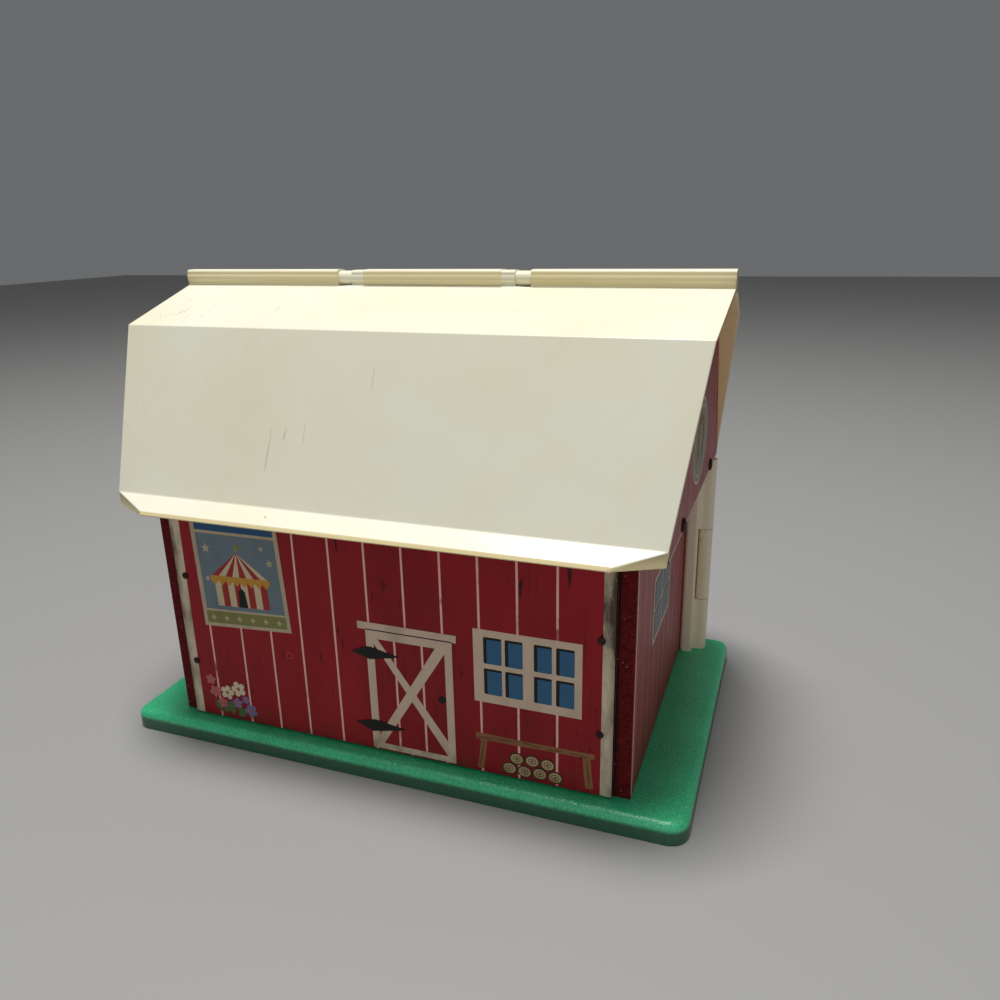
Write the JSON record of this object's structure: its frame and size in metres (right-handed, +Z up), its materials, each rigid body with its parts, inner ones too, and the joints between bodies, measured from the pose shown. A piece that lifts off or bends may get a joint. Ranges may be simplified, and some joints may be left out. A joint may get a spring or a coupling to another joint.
{
  "type": "toy barn with opening doors",
  "caption": "Toy barn on a moulded base: printed board walls, gambrel roof whose far half swings up at the ridge, and hinged doors on the far side.",
  "frame": {"origin": "bottom centre of the base", "axes": "+Z up; X along the ridge; the long printed wall faces -Y, and the doors face +Y"},
  "size_m": [0.345, 0.23, 0.2775],
  "materials": {
    "cream_plastic": "satin, yellowed with age",
    "green_plastic": "pebble grain",
    "printed_board": "printed paper on hardboard, worn at the edges",
    "painted_board": "thin dark red paint on pressed board",
    "raw_board": "bare",
    "dark_steel": "dark oxide",
    "steel": "bright"
  },
  "bodies": {
    "barn": {"base_tray": "green_plastic", "base_board": "raw_board", "base_screws": "steel", "long_wall": "printed_board", "wall_nails": "dark_steel", "left_end_wall": "painted_board", "right_end_wall": "painted_board", "left_corner_cleat": "raw_board", "right_corner_cleat": "raw_board", "door_header": "painted_board", "left_gable_board": "printed_board", "right_gable_board": "printed_board", "left_gable_battens": "raw_board", "right_gable_battens": "raw_board", "gable_screws": "dark_steel", "roof_front": "cream_plastic", "roof_screws": "steel", "left_ridge_pin": "cream_plastic", "right_ridge_pin": "cream_plastic", "left_door_post": "cream_plastic", "right_door_post": "cream_plastic", "post_screws": "steel", "left_hinge_pin": "steel", "right_hinge_pin": "steel"},
    "lid": {"roof_lid": "cream_plastic"},
    "left_door": {"left_door_leaf": "printed_board", "left_door_stile": "cream_plastic", "left_door_nails": "steel", "left_door_knob": "cream_plastic"},
    "right_door": {"right_door_leaf": "printed_board", "right_door_stile": "cream_plastic", "right_door_nails": "steel", "right_door_knob": "cream_plastic"}
  },
  "joints": [
    {"name": "lid_hinge", "type": "hinge", "parent": "barn", "child": "lid", "pos_m": [0, 0, 0.272], "axis": [1, 0, 0], "range_deg": [0, 200]},
    {"name": "left_door_hinge", "type": "hinge", "parent": "barn", "child": "left_door", "pos_m": [-0.1544, 0.0895, 0.0765], "axis": [0, 0, 1], "range_deg": [0, 180]},
    {"name": "right_door_hinge", "type": "hinge", "parent": "barn", "child": "right_door", "pos_m": [0.1544, 0.0895, 0.0765], "axis": [0, 0, -1], "range_deg": [0, 180]}
  ]
}
